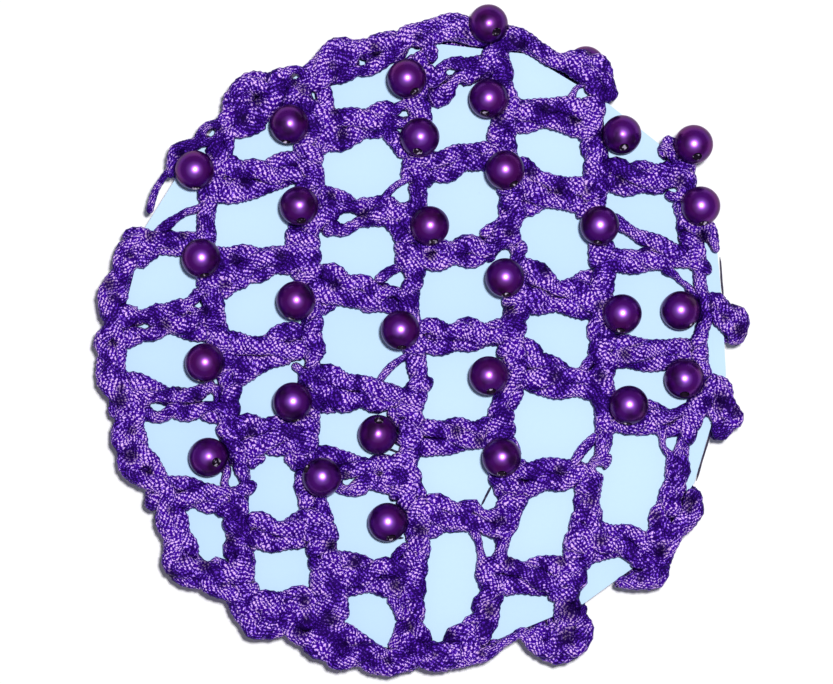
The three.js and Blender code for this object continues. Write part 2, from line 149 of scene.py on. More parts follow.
# The beads
BEAD_DIAMETER = 6
BEAD_BORE = 1.5
BEAD_SIDES = 40
BEAD_ARCS = 24
# The lining of a bore is painted dark for the shade inside it
BORE_RIM = 0.12  # how far inside its mouth the dark lining of a bore starts
BORE_LINING = 0.94

# Colours
# The yarn's crevice and shade colours are painted shade; its sheen and glint colours are painted
# highlights on the weave's dots
YARN_CREVICE_SHADE = (0.004, 0.0, 0.025)
YARN_SHADE = (0.010, 0.0, 0.07)
YARN_BODY = (0.042, 0.0, 0.27)
YARN_SHEEN = (0.175, 0.037, 0.83)
YARN_GLINT = (0.80, 0.50, 1.0)
YARN_TINT = (0.6, 0.3, 1.0)
THREAD_DARK = (0.006, 0.003, 0.02)
THREAD_BODY = (0.01, 0.005, 0.03)
THREAD_LIGHT = (0.03, 0.015, 0.07)
# The pearl's heart colour is a painted glow round its highlight, and its rim colour is painted
# shade
PEARL_HEART_GLOW = (0.42, 0.14, 0.85)
PEARL_MIDDLE = (0.18, 0.010, 0.42)
PEARL_RIM_SHADE = (0.048, 0.002, 0.09)
PEARL_FLUSH = (0.16, 0.002, 0.09)
PEARL_DARK_PATCH = (0.012, 0.0, 0.02)
PEARL_TINT = (0.6, 0.3, 0.65)
# The bore's colours: painted shade inside the hole, with specks of painted glint
BORE_DARK = (0.003, 0.001, 0.004)
BORE_BODY = (0.006, 0.002, 0.008)
BORE_LIGHT = (0.02, 0.008, 0.03)
BORE_GLINT = (0.5, 0.42, 0.6)
CARD_BODY = (0.60, 0.81, 0.96)
CARD_PALE = (0.54, 0.75, 0.96)
CARD_DEEP = (0.48, 0.69, 0.92)
CARD_FIBRE = (0.45, 0.64, 0.82)
FLOOR_BODY = (0.94, 0.94, 0.94)
FLOOR_DARK = (0.93, 0.93, 0.93)
FLOOR_LIGHT = (0.96, 0.96, 0.96)
SKY = (0.93, 0.96, 1)

# The view is straight down: its middle, its distance above the mesh, and what it spans
VIEW_MIDDLE = (-0.26, -0.11)
VIEW_DISTANCE = 600
VIEW_WIDTH = 128.15
SENSOR = 36

# Floor and light, in metres and watts
FLOOR_HALF = 1.5
FLOOR_DROP = 0.0002
LAMP_PLACE = (0.042, 0.048, 0.66)
LAMP_SIZE = 0.04
LAMP_POWER = 4.3
SKY_STRENGTH = 0.17

# The frame's levels
card_low, card_high = (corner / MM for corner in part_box("card"))
mesh_low, mesh_high = (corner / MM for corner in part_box("mesh_row_3"))
hem_high = card_low.z - (mesh_low.z - card_high.z)
MESH_MIDDLE = (mesh_low.z + mesh_high.z) / 2

# The ribs: x, y and width in yarns, from the top of the snood to the bottom
RIBS = [
    [(-61, 68, 2), (-62, 59, 1.8), (-64, 50, 1.6), (-65.5, 40, 1.3), (-66, 31, 1.5),
     (-64.5, 19, 1.9), (-63.5, 10, 1.4), (-61.5, -1, 2), (-58.5, -15, 1.3), (-59, -26, 1.7),
     (-56, -35, 1.3), (-54, -43, 0.9), (-57, -49, 1.9), (-56.5, -56, 1.8), (-55.5, -64, 1.9),
     (-54, -73, 1.5), (-53, -81, 1.9)],
    [(-38, 79, 1.8), (-34, 68, 1.9), (-34, 60, 2), (-34, 48, 1.9), (-35.7, 33, 2.4),
     (-35, 22, 2.2), (-33.3, 6, 1.4), (-33, -8, 1.8), (-34.5, -24, 1.8), (-35, -31, 1.8),
     (-33.2, -45, 2.3), (-32, -54, 2.5), (-29.3, -64, 2.3), (-28.2, -73, 2.5),
     (-27.5, -84, 2.6)],
    [(-1, 89, 1.8), (-1, 75, 1.8), (0, 58, 2.2), (-0.6, 47, 1.2), (-3, 34, 2.1), (-3.2, 27, 2.1),
     (-2.3, 18.5, 1.1), (-3.5, 11, 1.6), (-2, -1, 1.6), (-0.3, -11, 1.4), (-3, -20, 2),
     (-3, -28, 1.9), (-4.5, -41, 2.2), (-1, -54, 1.8), (-1, -64, 1.8), (-2, -72, 1.8),
     (-2.8, -80, 2), (-2.5, -86, 1.9), (-2.5, -92, 2.6), (-2.5, -97, 2.6)],
    [(23, 90, 2), (25, 81, 1.7), (27, 75, 1.4), (25.7, 67, 1.9), (25.5, 60, 1.9), (27, 52, 1.8),
     (28.3, 44, 1.8), (28.3, 39, 1.9), (27, 33, 2.1), (30, 26, 1.3), (29, 18, 1.6),
     (29.3, 9, 2.1), (28.3, 1, 1.8), (29, -10, 1.7), (25.5, -17.5, 1.3), (24.5, -23, 1.9),
     (25.2, -33, 2.3), (26, -42, 2.1), (28.3, -49, 1.9), (25.5, -58, 1.6), (25, -64, 1.4),
     (22.3, -71, 2.3), (21.5, -78, 1.9), (19.5, -86, 2.3), (14, -92, 3), (12, -97, 3)],
    [(53, 85, 2.2), (54, 80, 1.8), (55, 76, 1.1), (53.5, 71, 1.6), (52.8, 64, 1.6),
     (54.3, 57, 1.8), (54.2, 49, 1.9), (53.2, 42.5, 1.7), (55, 35, 1.5), (55.2, 29, 2),
     (56.5, 23, 1.8), (56, 15, 1.8), (56, 4, 2), (56.6, -4, 1.9), (56.3, -10, 1.9),
     (56.5, -18, 1.5), (56.8, -26, 1.3), (55.4, -35, 1.1), (52.5, -42, 1.7), (51.7, -48.5, 2),
     (51.4, -55, 2.1), (49.5, -62, 2.4), (46.5, -70, 2.1), (44.9, -76, 1.9), (45.2, -82, 1.8),
     (45, -89, 1.8)],
    [(79.5, 57, 2), (80, 51, 2.2), (81, 43, 1.7), (83.5, 36, 1.8), (84, 30, 1.7),
     (85.7, 24, 1.2), (86.3, 17, 1.1), (88, 10, 1), (86.8, 4, 1.1), (86, -4, 1.2),
     (87.5, -11, 1), (86, -18, 1.6), (83.2, -24, 1.6), (80.5, -31, 1.1), (79.2, -39, 1.7),
     (77.6, -46, 1.9), (76, -52, 2.1), (74, -59, 2.1), (71, -65, 1.8)],
]

# The stitch posts of each row: the height and the width in yarns where a post meets the
# row on its left, its width midway, and the height and the width where it leaves its rib
POSTS = [
    [(31, 2, 1.9, 31, 2), (5.5, 3.2, 2.6, 7.5, 3), (-16, 3.3, 2.5, -20.2, 2.6),
     (-46.5, 2.8, 2.3, -47.5, 2), (-71, 2, 1.8, -71, 1.8)],
    [(49, 3.7, 2.7, 53.5, 2.5), (22, 3.3, 2.5, 27.7, 2.2), (-4.2, 3.4, 2.6, 0, 2.8),
     (-29.5, 3.6, 2.9, -28, 2.7), (-59, 2.8, 2.6, -57, 2.5), (-83, 2.1, 2.2, -80.5, 2.4)],
    [(66.5, 3.5, 2.5, 69.5, 2.4), (39.8, 3.3, 2.3, 40.6, 2), (17, 3.5, 2.3, 14.5, 2),
     (-14.5, 3.5, 2.5, -16.5, 2.1), (-39, 3.4, 2.6, -40.5, 2.4), (-70.7, 3.4, 2.5, -72.3, 3)],
    [(79, 3.3, 2.3, 85.5, 1.9), (54, 2.6, 2.2, 58, 2.1), (26.5, 2.3, 2.2, 30.5, 2.1),
     (2, 2.6, 2.3, 3.3, 2), (-29, 2.8, 2.5, -28.2, 2.4), (-53, 3.1, 2.2, -54, 2.8)],
    [(71, 2.7, 2.3, 69.7, 3), (46.3, 3.6, 2.3, 46, 3), (16.5, 3.8, 2.5, 14, 3.7),
     (-8, 3.2, 2.8, -13.5, 2.3), (-41.5, 3, 2.4, -40.5, 2.3), (-71, 2.8, 2.5, -72.5, 3.2)],
    [(51.5, 2.5, 2.4, 50.5, 2.4), (38, 1.7, 1.5, 25.3, 1.8), (25, 2, 1.9, 27.3, 2),
     (-3, 2.5, 2.4, -3, 2.3), (-23.4, 2.6, 2.5, -23, 2.4), (-60.4, 3.2, 2.5, -62.5, 2.4)],
]

# The edging's shells in runs that lie side by side: direction in degrees, how far out the
# shell stands, and how far in over the front of the card its lip reaches
EDGING_RUNS = [
    [(51.5, 97.3, 93), (54, 101.2, 94), (57, 101.3, 94.5), (60.5, 102, 94.5), (64.5, 99.5, 95),
     (68, 100.3, 95), (72, 102, 95), (78, 101, 94), (85, 101.8, 94), (90, 99, 90), (95, 97, 85),
     (100, 95.3, 84.6), (105.5, 98.5, 84.5), (109, 94.5, 82.5), (112, 93.3, 83),
     (114.5, 92.5, 85), (118, 96.5, 83), (122, 98, 81), (127, 99.5, 80), (132, 93.3, 86),
     (138, 94.5, 90), (142, 97.8, 91), (146, 94, 91)],
    [(159, 95, 89), (163, 98, 89), (167, 98, 92), (171, 101, 93), (176, 98, 91.5),
     (180, 100, 90), (184, 100, 90), (186.5, 101, 89), (189.5, 97.5, 88), (192, 95.5, 87),
     (198, 100, 88), (204, 100.3, 87), (207.5, 96, 87), (211, 94.5, 87), (215, 98, 88),
     (222, 105.5, 92.5), (227, 102.5, 92.5), (233, 99.5, 91), (240, 104.8, 91),
     (245, 99.5, 85), (249, 101, 84), (255, 104.3, 88), (260, 102, 92), (265, 103, 94),
     (270, 100.5, 92), (274, 101.2, 91), (278, 101, 93), (282, 100, 95), (287.5, 95.8, 95),
     (289.3, 96.5, 95), (291.3, 103, 95), (294, 109, 95), (297.3, 108.5, 94.5),
     (299.6, 102.5, 94), (301, 98, 95), (302.3, 96.5, 95)],
    [(309.3, 97.3, 95.3), (312.5, 102.5, 95.5), (315, 105, 95.3), (318, 103.5, 94.5),
     (320, 101.5, 94), (326, 101.5, 94), (329, 101.5, 93), (332, 97.5, 94)],
    [(342.2, 98, 95.5), (344.3, 100, 93.5), (346.5, 102.3, 91), (349, 99, 88), (351, 97, 87),
     (353.5, 94.7, 87)],
    [(0, 98, 96), (1.5, 101.3, 95), (3.5, 101.5, 92), (5.5, 97.5, 88.5), (7.5, 96, 88),
     (9.5, 94.3, 88.5)],
    [(17, 96.3, 95), (19, 97.3, 93.5), (22, 98, 93), (27, 97.5, 94), (32, 98.5, 95), (36, 101, 95),
     (39.5, 97, 94)],
]

# The card's corners: direction in degrees and distance
CARD_CORNERS = [
    (7, 94), (17, 96), (40, 96), (52, 94), (70, 95), (90, 93), (114, 91), (133, 92),
    (145, 91), (157, 92), (178, 93), (198, 94), (215, 95), (233, 96), (250, 96), (267, 95),
    (283, 95), (302, 95), (315, 96), (333, 95), (354, 95),
]

# Single yarns that part from a post or a rib and leave a small hole behind them, or that
# round off the corner of an opening: start x and y, end x and y, and width in yarns
SINGLE_YARNS = [
    (-83.4, 39.8, -77, 53.5, 0.5), (-81.5, 33, -65, 42.5, 0.75), (-72, 11.5, -64, 4, 0.9),
    (-67, -8, -63.5, -20, 0.7), (-61.5, -34, -59, -48, 0.8), (-91, -1, -76, 5, 0.9),
    (-59.5, 66, -60, 57, 1), (-30.5, 80, -29.5, 69, 1.2), (-26, 80.5, -11, 85.5, 0.9),
    (-88, 24, -80, 29, 1.2), (-67, 16.5, -74.5, 10.5, 1.2), (-62, 14.5, -52, 21.5, 1.4),
    (-47, 0.3, -36, 4.5, 1.2), (-57.5, -13, -49.5, -7, 1.3), (-31, 59, -17, 63.5, 0.8),
    (-11, 65.5, -4, 57, 1.1), (-4, 57.5, -4.5, 50, 0.8), (-31, 47, -20, 42, 0.9),
    (-30, 34, -8, 38, 0.9), (-10.5, 39, -4.5, 30, 1.2), (-30, -44.5, -8, -45, 0.8),
    (-12, 43.5, -2, 51.5, 0.5),
    (-13.5, 18.5, -4.5, 24, 0.7), (-19, 11.8, -6, 10.8, 1.2), (-13.5, -13, -2.5, -3, 0.5),
    (-9.5, -20, -6, -27, 0.9), (-9.3, -77.5, -5.5, -86, 0.8), (-5.5, -85, -9, -94.5, 0.8),
    (1.5, 92, 3.5, 86, 1.3), (21, 25, 26, 32, 0.7), (29, 55.5, 37, 49.5, 1.3),
    (30, 24.5, 39, 20, 1.3), (30.5, 0.5, 37, -5, 1.1), (27, -21, 31, -13, 1.2),
    (16.2, -56.5, 19, -71, 0.8), (46, 75, 53, 80.5, 0.6), (46, -40.5, 55, -28, 0.7),
    (73.5, -26, 78, -42, 0.75), (74.5, 23.5, 85.5, 13, 0.7),
    (74.5, 62.5, 84.5, 56, 0.9), (44, 86, 52.5, 88.5, 1.2), (52.5, 88.5, 58, 80, 1.2),
    (19, 32.3, 25, 36.8, 0.8), (50, -9.5, 54, -4, 0.8), (-53, -38, -47.5, -35, 0.8),
    (-41.2, -34, -37.5, -39.5, 0.8), (-8.3, -67, -3, -62, 0.7), (-39.3, -6.5, -35, -10.5, 0.8),
]

# The hollows between the stitches, pressed in and darkened with painted shade: x, y, and how far
# they reach in millimetres
HOLLOWS = [
    (-50, 75, 1.5), (-54.5, 69, 1.2), (-95.5, 18, 1.5), (-83, 33, 1.2), (-73, 33, 1),
    (-24, 64, 1.5), (-26, 71, 1.1), (-14, 91, 1.1), (-36, 78, 1.1), (-57, 26, 1.2),
    (-43, 27, 1.2), (-54, 49.5, 1.3), (-60, 18, 1.1), (-17, 39.5, 1.2), (-27.5, 45.5, 1.1),
    (-26, 18, 1.4), (-78.5, 5.5, 1.3), (-66, 10, 1.1), (38.5, 72.5, 1.2), (47, 68.5, 1.2),
    (34, 52.5, 1.4), (43, 47, 1.2), (51.5, 47, 1), (27.5, 34, 1.2), (61.5, 50, 1.2),
    (80, 50, 1.3), (55, 11.5, 1.2), (38.5, 22.5, 1.4), (3, 27, 1.2), (24.5, 68.5, 1.3),
    (87, 33, 1.5), (97, 13, 1.6), (98.5, 4, 1.6), (27, 10, 1.5), (-92, -17.5, 1.6),
    (-89, -34.5, 1.8), (-74, -13, 1.2), (-68.5, -17, 1.2), (-86, -48, 1.5),
    (-77, -71.5, 1.6), (-66, -68.5, 1.4), (-58.5, -60.5, 1.2), (-52, -27, 1.2),
    (-23, -40.5, 1.2), (-20, -67, 1.5), (-27.5, -62, 1.4), (-7.5, -74.5, 1.6),
    (-35.5, -79, 1.4), (-27.5, -85, 1.7), (-37, -88.5, 1.6), (-3, -87, 1.3),
    (0, -57.5, 1.6), (55.5, -10, 1.3), (41.5, -10, 1.3), (63, -3.5, 1.3), (18.5, -30, 1.2),
    (11, -27, 1.2), (43, -39, 1.2), (52.5, -48.5, 1.2), (24.5, -54.5, 1.2),
    (27.5, -67, 1.3), (43, -67, 1.2), (55.5, -60.5, 1.4), (72.5, -53, 1.2), (46, -82, 2.2),
    (45, -90, 2), (83, -48.5, 1.6), (74, -63.5, 1.6), (92.5, -17.5, 1.7), (86, -13, 1.3),
    (97, -21, 1.4), (9, -90, 1.4), (21.5, -82, 1.6), (52.5, 90, 1.3), (31, 91.5, 1.3),
]

# The small holes that strands leave between them: x, y, and radius in millimetres
HOLES = [
    (-38.5, 82, 0.4), (-64.3, 64.6, 0.5), (-17.8, 86.2, 0.4), (-2.5, 90.2, 0.4), (9, 83.4, 0.35),
    (-4.6, 70.8, 0.4), (-4.6, 46, 0.7), (-24, 37.4, 0.4), (-21.5, 38.4, 0.4), (-6, 18.7, 0.8),
    (-5.5, -10.8, 1.1),
    (26.2, 27.4, 0.8), (82, 21.2, 0.9), (62.5, 31.8, 0.45), (65.5, 30, 0.45),
    (78.5, 47, 0.3), (53, -34, 0.4), (51.2, -36, 0.4), (54.8, -38.5, 0.3), (77.2, -31, 0.7),
    (21.5, -62.8, 1), (21.2, -49.4, 0.9), (-8.3, -32.3, 0.7), (-80.6, -20, 0.5),
    (-64.3, -16.6, 0.5), (-57.8, -43, 0.6), (-36, -6, 0.4), (-68, 11.7, 0.4),
    (-84.2, 5.2, 0.35), (49.8, 77.2, 0.6), (-70.8, 37.5, 1), (-22.5, -42.8, 0.4),
    (76.3, -18.8, 0.5),
]

# The thin sewing thread, where it shows beside a bead or at the card's edge: start and end
THREADS = [
    (22, -44, 19, -50), (-12, -60, -5, -60), (-64, -14, -61, -17), (-11, -32, -6, -34),
    (89.5, -27.5, 85.1, -42.5), (92.4, 26.5, 93.4, 14),
]

# The beads: x, y, the direction in which the lower end of the bore shows, in degrees from
# straight down towards the right, and how far that end tips up out of the mesh
BEADS = [
    (21, 98, 40, 50), (-4, 81, 29, 35), (21, 75, -14, 35), (-40, 67, -10, 18), (-69, 53, 6, 15),
    (0, 63, -9, 38), (26, 53, 30, 28), (62, 64, 6, 45), (84, 61, 12, 46), (-37, 42, 9, 36),
    (86, 42, 8, 22), (3, 36, 13, 30), (55, 36, -8, 25), (-67, 26, 12, 22), (26, 20, 4, 26),
    (-38, 13, -12, 12), (-6, 4, 4, 24), (62, 9, -8, 28), (80, 10, 35, 18), (-66, -6, -14, 12),
    (21, -10, 9, 35), (-39, -18, 10, 12), (81, -11, 0, 36), (64, -19, -6, 14),
    (-13, -28, 175, 42), (-65, -35, 62, 58), (25, -35, 0, 34), (-30, -41, -120, 26),
    (-10, -55, 15, 36), (51.5, 86.5, 0, 30),
]


def share(hundredths):
    """Millimetres from hundredths of the snood's reach."""
    return hundredths / 100 * SNOOD_REACH


# The tables' own middle, found from all beads of the frame but the last, which is tucked away
bead_centres = []
for number in range(1, len(BEADS) + 1):
    low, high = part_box(f"bead_{number:02d}")
    bead_centres.append((low + high) / 2 / MM)
offsets = [
    Vector((centre.x - share(x), centre.y - share(y)))
    for centre, (x, y, _, _) in zip(bead_centres[:-1], BEADS)
]
middle = sum(offsets, Vector((0, 0))) / len(offsets)


def spot(x, y, z=0.0):
    """The point at a table's x and y, at a height in millimetres."""
    return Vector((share(x) + middle.x, share(y) + middle.y, z))


def polar(angle, radius, z):
    """The point in a direction in degrees, at a distance and height in millimetres."""
    turn = math.radians(angle)
    return Vector((
        radius * math.cos(turn) + middle.x,
        radius * math.sin(turn) + middle.y,
        z,
    ))


def blend(a, b, t):
    """What lies the share t of the way from a to b."""
    return a + (b - a) * t


# Materials
def new_material(name, colour):
    """A material, its nodes and links, its shader, and the place of each point."""
    material = bpy.data.materials.new(name)
    material.use_nodes = True
    material.diffuse_color = (*colour, 1)
    nodes, links = material.node_tree.nodes, material.node_tree.links
    place = nodes.new("ShaderNodeTexCoord").outputs
    return material, nodes, links, nodes["Principled BSDF"], place


def noise_node(nodes, links, coords, scale, detail=2):
    node = nodes.new("ShaderNodeTexNoise")
    node.inputs["Scale"].default_value = scale
    node.inputs["Detail"].default_value = detail
    links.new(coords, node.inputs["Vector"])
    return node.outputs["Fac"]


def math_node(nodes, links, operation, a, b=None):
    node = nodes.new("ShaderNodeMath")
    node.operation = operation
    for socket, value in zip(node.inputs, (a, b)):
        if isinstance(value, (int, float)):
            socket.default_value = value
        elif value is not None:
            links.new(value, socket)
    return node.outputs[0]


def range_node(nodes, links, value, given, wanted, smooth=False):
    """The value, stretched from one range to another and held inside it."""
    node = nodes.new("ShaderNodeMapRange")
    node.interpolation_type = "SMOOTHSTEP" if smooth else "LINEAR"
    links.new(value, node.inputs["Value"])
    for name, (low, high) in (("From", given), ("To", wanted)):
        node.inputs[f"{name} Min"].default_value = low
        node.inputs[f"{name} Max"].default_value = high
    return node.outputs["Result"]


def mix_node(nodes, links, factor, a, b):
    node = nodes.new("ShaderNodeMix")
    node.data_type = "RGBA"
    links.new(factor, node.inputs["Factor"])
    for socket, value in ((node.inputs[6], a), (node.inputs[7], b)):
        if isinstance(value, tuple):
            socket.default_value = (*value, 1)
        else:
            links.new(value, socket)
    return node.outputs[2]


def bump_node(nodes, links, height, depth, strength):
    node = nodes.new("ShaderNodeBump")
    node.inputs["Distance"].default_value = depth * MM
    node.inputs["Strength"].default_value = strength
    links.new(height, node.inputs["Height"])
    return node.outputs["Normal"]


def yarn_material():
    """Rows of dots along and across the yarn with painted sheen and glints on them, and painted
    shade in its crevices and hollows.
    """
    material, nodes, links, shader, place = new_material("woven_yarn", YARN_BODY)
    here = place["Object"]
    split = nodes.new("ShaderNodeSeparateXYZ")
    links.new(place["UV"], split.inputs[0])
    drift = noise_node(nodes, links, here, scale=600)
    jitter = noise_node(nodes, links, here, scale=2400, detail=1)
    tone = noise_node(nodes, links, here, scale=380, detail=3)
    spark = noise_node(nodes, links, here, scale=3000, detail=1)
    waves = []
    for axis, push in ((0, 0.35), (1, -0.35)):
        shift = range_node(nodes, links, drift, (0.2, 0.8), (-push, push))
        moved = math_node(nodes, links, "ADD", split.outputs[axis], shift)
        shift = range_node(nodes, links, jitter, (0.2, 0.8), (-0.3, 0.3))
        moved = math_node(nodes, links, "ADD", moved, shift)
        turned = math_node(nodes, links, "MULTIPLY", moved, TAU)
        waves.append(math_node(nodes, links, "COSINE", turned))
    lattice = math_node(nodes, links, "MULTIPLY", *waves)
    dot = range_node(nodes, links, lattice, (-0.08, 0.55), (0, 1), smooth=True)
    # Random darker patches, painted shade between the loops, which also dim the painted glints
    brightness = range_node(nodes, links, tone, (0.4, 0.62), (0.1, 1.1))
    glitter = range_node(nodes, links, spark, (0.35, 0.65), (0.2, 2.6))
    strength = math_node(nodes, links, "MULTIPLY", dot, brightness)
    strength = math_node(nodes, links, "MULTIPLY", strength, glitter)
    body = mix_node(nodes, links, brightness, YARN_SHADE, YARN_BODY)
    # Painted sheen and glints on the weave's dots, brightest where the sparkle noise is high
    sheen = range_node(nodes, links, strength, (0, 0.4), (0, 1))
    glint = range_node(nodes, links, strength, (0.3, 1.05), (0, 1))
    weave_and_glints = mix_node(nodes, links, sheen, body, YARN_SHEEN)
    weave_and_glints = mix_node(nodes, links, glint, weave_and_glints, YARN_GLINT)
    # Painted shade: ambient occlusion darkens the crevices, and each point's painted hollow shade
    # darkens the hollows
    shelter = nodes.new("ShaderNodeAmbientOcclusion")
    shelter.samples = 8
    shelter.inputs["Distance"].default_value = CREVICE_DEPTH * MM
    openness = range_node(nodes, links, shelter.outputs["AO"], (0.15, 0.8), (0, 1), smooth=True)
    hollow = nodes.new("ShaderNodeAttribute")
    hollow.attribute_name = "hollow"
    unshaded = range_node(nodes, links, hollow.outputs["Fac"], (0, 1), (1, 0))
    lit = math_node(nodes, links, "MULTIPLY", openness, unshaded)
    colour = mix_node(nodes, links, lit, YARN_CREVICE_SHADE, weave_and_glints)
    links.new(colour, shader.inputs["Base Color"])
    roughness = range_node(nodes, links, dot, (0, 1), (0.7, 0.4))
    links.new(roughness, shader.inputs["Roughness"])
    shader.inputs["Specular IOR Level"].default_value = 0.15
    shader.inputs["Specular Tint"].default_value = (*YARN_TINT, 1)
    relief = bump_node(nodes, links, dot, depth=0.14, strength=0.7)
    links.new(relief, shader.inputs["Normal"])
    return material


def thread_material():
    """Dark, slightly uneven thread."""
    material, nodes, links, shader, place = new_material("sewing_thread", THREAD_BODY)
    grain = noise_node(nodes, links, place["Object"], scale=2500)
    colour = mix_node(nodes, links, grain, THREAD_DARK, THREAD_LIGHT)
    links.new(colour, shader.inputs["Base Color"])
    shader.inputs["Roughness"].default_value = 0.55
    return material


def pearl_material():
    """Plum pearl with a painted glow in its middle and painted shade at its rim, by how squarely
    it faces the view, with faint clouds and dark patches.
    """
    material, nodes, links, shader, place = new_material("plum_pearl", PEARL_MIDDLE)
    here = place["Object"]
    # Painted highlight and rim shade: the colour runs from a bright glow where the pearl faces the
    # view to near black at its rim
    facing = nodes.new("ShaderNodeLayerWeight")
    facing.inputs["Blend"].default_value = 0.5
    ramp = nodes.new("ShaderNodeValToRGB")
    stops = ramp.color_ramp.elements
    stops[0].position, stops[0].color = 0.0, (*PEARL_HEART_GLOW, 1)
    stops[1].position, stops[1].color = 0.6, (*PEARL_RIM_SHADE, 1)
    between = stops.new(0.12)
    between.color = (*PEARL_MIDDLE, 1)
    links.new(facing.outputs["Facing"], ramp.inputs["Fac"])
    cloud = noise_node(nodes, links, here, scale=260, detail=3)
    flush = range_node(nodes, links, cloud, (0.4, 0.65), (0, 0.45))
    shade = mix_node(nodes, links, flush, ramp.outputs["Color"], PEARL_FLUSH)
    patch = noise_node(nodes, links, here, scale=340)
    dark_patch = range_node(nodes, links, patch, (0.5, 0.68), (0, 0.7))
    shade = mix_node(nodes, links, dark_patch, shade, PEARL_DARK_PATCH)
    links.new(shade, shader.inputs["Base Color"])
    shader.inputs["Metallic"].default_value = 0.85
    shader.inputs["Roughness"].default_value = 0.32
    shader.inputs["Specular Tint"].default_value = (*PEARL_TINT, 1)
    shader.inputs["Coat Weight"].default_value = 0.3
    shader.inputs["Coat Roughness"].default_value = 0.2
    grain = noise_node(nodes, links, here, scale=3000)
    relief = bump_node(nodes, links, grain, depth=0.01, strength=0.3)
    links.new(relief, shader.inputs["Normal"])
    return material


def bore_material():
    """The lining of a bore, painted dark for the shade inside it, with a few pale specks of
    painted light.
    """
    material, nodes, links, shader, place = new_material("bead_bore", BORE_BODY)
    here = place["Object"]
    grain = noise_node(nodes, links, here, scale=2500)
    colour = mix_node(nodes, links, grain, BORE_DARK, BORE_LIGHT)
    # Pale specks of painted glint
    crumb = noise_node(nodes, links, here, scale=1700, detail=1)
    glint_speck = range_node(nodes, links, crumb, (0.56, 0.68), (0, 1))
    colour = mix_node(nodes, links, glint_speck, colour, BORE_GLINT)
    links.new(colour, shader.inputs["Base Color"])
    shader.inputs["Roughness"].default_value = 0.6
    shader.inputs["Specular IOR Level"].default_value = 0.1
    return material


def card_material():
    """Smooth pale blue card with faint clouds and fibres."""
    material, nodes, links, shader, place = new_material("blue_card", CARD_BODY)
    here = place["Object"]
    fibres = noise_node(nodes, links, here, scale=1400, detail=4)
    cloud = noise_node(nodes, links, here, scale=22)
    clear = range_node(nodes, links, cloud, (0.3, 0.7), (0, 1))
    paper = mix_node(nodes, links, clear, CARD_DEEP, CARD_PALE)
    fleck = range_node(nodes, links, fibres, (0.3, 0.7), (0, 0.08))
    shade = mix_node(nodes, links, fleck, paper, CARD_FIBRE)
    links.new(shade, shader.inputs["Base Color"])
    shader.inputs["Roughness"].default_value = 0.62
    relief = bump_node(nodes, links, fibres, depth=0.02, strength=0.3)
    links.new(relief, shader.inputs["Normal"])
    return material


def floor_material():
    """A plain pale floor."""
    material, nodes, links, shader, place = new_material("pale_floor", FLOOR_BODY)
    cloud = noise_node(nodes, links, place["Object"], scale=6)
    shade = mix_node(nodes, links, cloud, FLOOR_DARK, FLOOR_LIGHT)
    links.new(shade, shader.inputs["Base Color"])
    shader.inputs["Roughness"].default_value = 0.9
    return material


yarn_look = yarn_material()
thread_look = thread_material()
pearl_look = pearl_material()
bore_look = bore_material()


# Meshes
def wander(reach, length):
    """A smooth stray to either side, as a function of the distance along a strand."""
    waves = []
    for _ in range(SWAY_WAVES):
        rate = chance.uniform(*SWAY_RATES) * TAU / length
        waves.append((rate, chance.uniform(0, TAU)))
    return lambda s: reach * sum(math.sin(rate * s + start) for rate, start in waves) / SWAY_SUM


